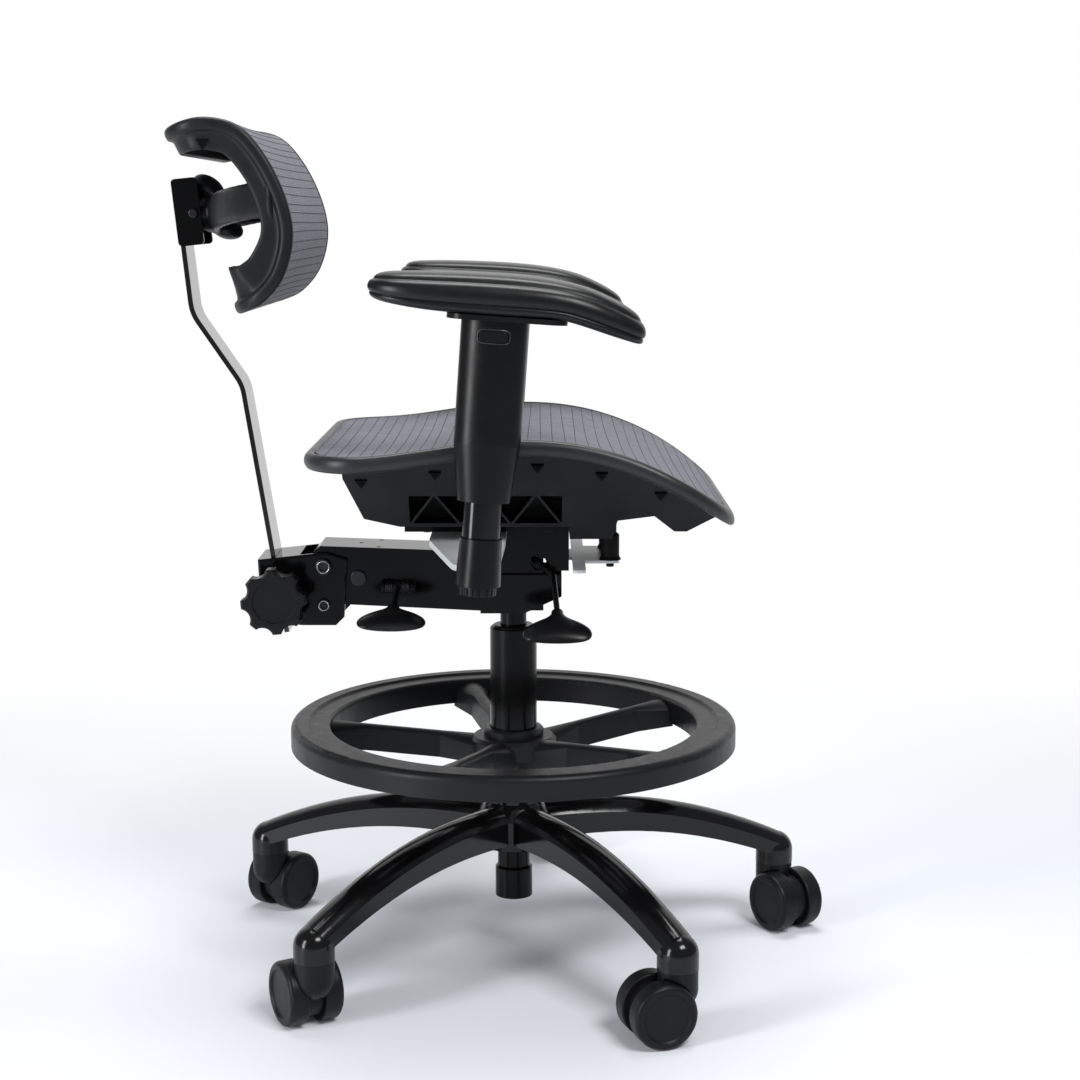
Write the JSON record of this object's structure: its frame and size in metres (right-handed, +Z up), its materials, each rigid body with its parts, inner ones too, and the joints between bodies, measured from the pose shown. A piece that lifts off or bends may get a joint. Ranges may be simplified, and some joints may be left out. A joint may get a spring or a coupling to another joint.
{
  "type": "studio chair",
  "caption": "Height-adjustable studio chair with a five-star caster base, foot ring, mesh seat, post arms and a small curved mesh back on a clamped bar.",
  "frame": {"origin": "floor point under the swivel axis", "axes": "+Z up, +X to the chair's front, +Y to the sitter's left"},
  "size_m": [0.6917, 0.6492, 0.8801],
  "materials": {
    "gloss_black": "gloss",
    "column_black": "satin",
    "black_steel": "satin",
    "gloss_black_steel": "gloss",
    "dark_steel": "satin",
    "bright_steel": "polished",
    "black_plastic": "fine texture",
    "charcoal_plastic": "matte",
    "caster_plastic": "matte",
    "black_rubber": "matte",
    "soft_pad": "soft grain",
    "grey_mesh": "woven"
  },
  "bodies": {
    "base": {"five_star_base": "gloss_black", "cylinder_tube": "column_black", "cylinder_bush": "black_plastic", "thrust_bearing": "bright_steel"},
    "foot_ring": {"foot_ring": "charcoal_plastic", "foot_ring_collar": "charcoal_plastic"},
    "piston": {"piston_rod": "bright_steel", "rod_clip": "bright_steel"},
    "carrier": {"gas_spring_tube": "column_black", "tilt_housing": "black_steel", "rear_arm": "black_steel", "front_plate": "black_steel", "front_bumpers": "black_rubber", "mechanism_bolts": "dark_steel"},
    "seat": {"seat_bracket": "black_steel", "tilt_pin": "dark_steel", "seat_plate": "black_steel", "seat_underframe": "charcoal_plastic", "seat_frame": "charcoal_plastic", "seat_mesh": "grey_mesh", "seat_screws": "dark_steel", "arm_brackets": "black_steel", "arm_cups": "black_plastic", "arm_posts": "black_steel", "arm_nuts": "black_plastic"},
    "arm_right": {"arm_sleeve_right": "black_plastic"},
    "arm_left": {"arm_sleeve_left": "black_plastic"},
    "arm_button_right": {"arm_button_right": "black_plastic"},
    "arm_button_left": {"arm_button_left": "black_plastic"},
    "arm_pad_right": {"arm_pad_plate_right": "black_plastic", "arm_pad_right": "soft_pad"},
    "arm_pad_left": {"arm_pad_plate_left": "black_plastic", "arm_pad_left": "soft_pad"},
    "clamp": {"clamp_bracket": "black_steel", "clamp_bolts": "dark_steel"},
    "star_knob": {"star_knob": "black_plastic"},
    "back_bar": {"back_bar": "gloss_black_steel", "back_bracket": "black_steel", "back_pivot_pin": "dark_steel"},
    "back_rest": {"back_yoke": "charcoal_plastic", "back_frame": "charcoal_plastic", "back_mesh": "grey_mesh"},
    "height_lever": {"height_lever": "black_plastic"},
    "release_pin": {"release_pin": "bright_steel"},
    "back_lever": {"back_lever": "black_plastic"},
    "caster_1": {"caster_1_fork": "caster_plastic"},
    "caster_1_wheel_left": {"caster_1_wheel_left": "caster_plastic"},
    "caster_1_wheel_right": {"caster_1_wheel_right": "caster_plastic"},
    "caster_2": {"caster_2_fork": "caster_plastic"},
    "caster_2_wheel_left": {"caster_2_wheel_left": "caster_plastic"},
    "caster_2_wheel_right": {"caster_2_wheel_right": "caster_plastic"},
    "caster_3": {"caster_3_fork": "caster_plastic"},
    "caster_3_wheel_left": {"caster_3_wheel_left": "caster_plastic"},
    "caster_3_wheel_right": {"caster_3_wheel_right": "caster_plastic"},
    "caster_4": {"caster_4_fork": "caster_plastic"},
    "caster_4_wheel_left": {"caster_4_wheel_left": "caster_plastic"},
    "caster_4_wheel_right": {"caster_4_wheel_right": "caster_plastic"},
    "caster_5": {"caster_5_fork": "caster_plastic"},
    "caster_5_wheel_left": {"caster_5_wheel_left": "caster_plastic"},
    "caster_5_wheel_right": {"caster_5_wheel_right": "caster_plastic"}
  },
  "joints": [
    {"name": "foot_ring_height", "type": "slide", "parent": "base", "child": "foot_ring", "axis": [0, 0, 1], "range_m": [-0.035, 0.04]},
    {"name": "seat_swivel", "type": "hinge", "parent": "base", "child": "piston", "pos_m": [0, 0, 0], "axis": [0, 0, 1], "continuous": true},
    {"name": "seat_height", "type": "slide", "parent": "piston", "child": "carrier", "axis": [0, 0, 1], "range_m": [-0.014, 0.11]},
    {"name": "seat_tilt", "type": "hinge", "parent": "carrier", "child": "seat", "pos_m": [-0.014, 0, 0.446], "axis": [0, 1, 0], "range_deg": [-5, 3]},
    {"name": "back_recline", "type": "hinge", "parent": "carrier", "child": "clamp", "pos_m": [-0.198, 0, 0.426], "axis": [0, 1, 0], "range_deg": [-9, 6]},
    {"name": "back_height", "type": "slide", "parent": "clamp", "child": "back_bar", "axis": [-0.1559, 0, 0.9878], "range_m": [-0.03, 0.028]},
    {"name": "back_tilt", "type": "hinge", "parent": "back_bar", "child": "back_rest", "pos_m": [-0.32539, 0, 0.79073], "axis": [0, 1, 0], "range_deg": [-12, 12]},
    {"name": "star_knob_turn", "type": "hinge", "parent": "clamp", "child": "star_knob", "pos_m": [-0.24543, 0, 0.396], "axis": [0, -1, 0], "continuous": true},
    {"name": "height_lever_lift", "type": "hinge", "parent": "carrier", "child": "height_lever", "pos_m": [0.02261, -0.032, 0.43359], "axis": [-1, 0, 0], "range_deg": [0, 5], "stiffness_Nm_per_rad": 0.6, "springref_deg": -5.73},
    {"name": "release_pin_press", "type": "slide", "parent": "carrier", "child": "release_pin", "axis": [0, 0, -1], "range_m": [0, 0.0027]},
    {"name": "back_lever_lift", "type": "hinge", "parent": "carrier", "child": "back_lever", "pos_m": [-0.12, -0.037, 0.405], "axis": [-1, 0, 0], "range_deg": [0, 12]},
    {"name": "arm_height_right", "type": "slide", "parent": "seat", "child": "arm_right", "axis": [0.0698, 0, 0.9976], "range_m": [-0.03, 0.06]},
    {"name": "arm_pad_swivel_right", "type": "hinge", "parent": "arm_right", "child": "arm_pad_right", "pos_m": [-0.013, -0.238, 0.69237], "axis": [0.0698, 0, 0.9976], "range_deg": [-18, 18]},
    {"name": "arm_button_press_right", "type": "slide", "parent": "arm_right", "child": "arm_button_right", "axis": [0, 1, 0], "range_m": [0, 0.0025], "stiffness_N_per_m": 600},
    {"name": "arm_height_left", "type": "slide", "parent": "seat", "child": "arm_left", "axis": [0.0698, 0, 0.9976], "range_m": [-0.03, 0.06]},
    {"name": "arm_pad_swivel_left", "type": "hinge", "parent": "arm_left", "child": "arm_pad_left", "pos_m": [-0.013, 0.238, 0.69237], "axis": [0.0698, 0, 0.9976], "range_deg": [-18, 18]},
    {"name": "arm_button_press_left", "type": "slide", "parent": "arm_left", "child": "arm_button_left", "axis": [0, -1, 0], "range_m": [0, 0.0025], "stiffness_N_per_m": 600},
    {"name": "caster_1_swivel", "type": "hinge", "parent": "base", "child": "caster_1", "pos_m": [0.29203, 0.07498, 0.079], "axis": [0, 0, 1], "continuous": true},
    {"name": "caster_1_wheel_left_spin", "type": "hinge", "parent": "caster_1", "child": "caster_1_wheel_left", "pos_m": [0.30369, 0.05632, 0.0325], "axis": [0.848, 0.5299, 0], "continuous": true},
    {"name": "caster_1_wheel_right_spin", "type": "hinge", "parent": "caster_1", "child": "caster_1_wheel_right", "pos_m": [0.30369, 0.05632, 0.0325], "axis": [0.848, 0.5299, 0], "continuous": true},
    {"name": "caster_2_swivel", "type": "hinge", "parent": "base", "child": "caster_2", "pos_m": [0.01893, 0.30091, 0.079], "axis": [0, 0, 1], "continuous": true},
    {"name": "caster_2_wheel_left_spin", "type": "hinge", "parent": "caster_2", "child": "caster_2_wheel_left", "pos_m": [0.03798, 0.31191, 0.0325], "axis": [-0.5, 0.866, 0], "continuous": true},
    {"name": "caster_2_wheel_right_spin", "type": "hinge", "parent": "caster_2", "child": "caster_2_wheel_right", "pos_m": [0.03798, 0.31191, 0.0325], "axis": [-0.5, 0.866, 0], "continuous": true},
    {"name": "caster_3_swivel", "type": "hinge", "parent": "base", "child": "caster_3", "pos_m": [-0.28033, 0.11099, 0.079], "axis": [0, 0, 1], "continuous": true},
    {"name": "caster_3_wheel_left_spin", "type": "hinge", "parent": "caster_3", "child": "caster_3_wheel_left", "pos_m": [-0.26835, 0.12944, 0.0325], "axis": [-0.8387, 0.5446, 0], "continuous": true},
    {"name": "caster_3_wheel_right_spin", "type": "hinge", "parent": "caster_3", "child": "caster_3_wheel_right", "pos_m": [-0.26835, 0.12944, 0.0325], "axis": [-0.8387, 0.5446, 0], "continuous": true},
    {"name": "caster_4_swivel", "type": "hinge", "parent": "base", "child": "caster_4", "pos_m": [-0.19218, -0.23231, 0.079], "axis": [0, 0, 1], "continuous": true},
    {"name": "caster_4_wheel_left_spin", "type": "hinge", "parent": "caster_4", "child": "caster_4_wheel_left", "pos_m": [-0.20285, -0.21307, 0.0325], "axis": [-0.8746, -0.4848, 0], "continuous": true},
    {"name": "caster_4_wheel_right_spin", "type": "hinge", "parent": "caster_4", "child": "caster_4_wheel_right", "pos_m": [-0.20285, -0.21307, 0.0325], "axis": [-0.8746, -0.4848, 0], "continuous": true},
    {"name": "caster_5_swivel", "type": "hinge", "parent": "base", "child": "caster_5", "pos_m": [0.16155, -0.25456, 0.079], "axis": [0, 0, 1], "continuous": true},
    {"name": "caster_5_wheel_left_spin", "type": "hinge", "parent": "caster_5", "child": "caster_5_wheel_left", "pos_m": [0.14088, -0.26209, 0.0325], "axis": [0.342, -0.9397, 0], "continuous": true},
    {"name": "caster_5_wheel_right_spin", "type": "hinge", "parent": "caster_5", "child": "caster_5_wheel_right", "pos_m": [0.14088, -0.26209, 0.0325], "axis": [0.342, -0.9397, 0], "continuous": true}
  ],
  "couplings": [
    {"joint": "release_pin_press", "follows": "height_lever_lift", "m_per_rad": 0.0305}
  ]
}
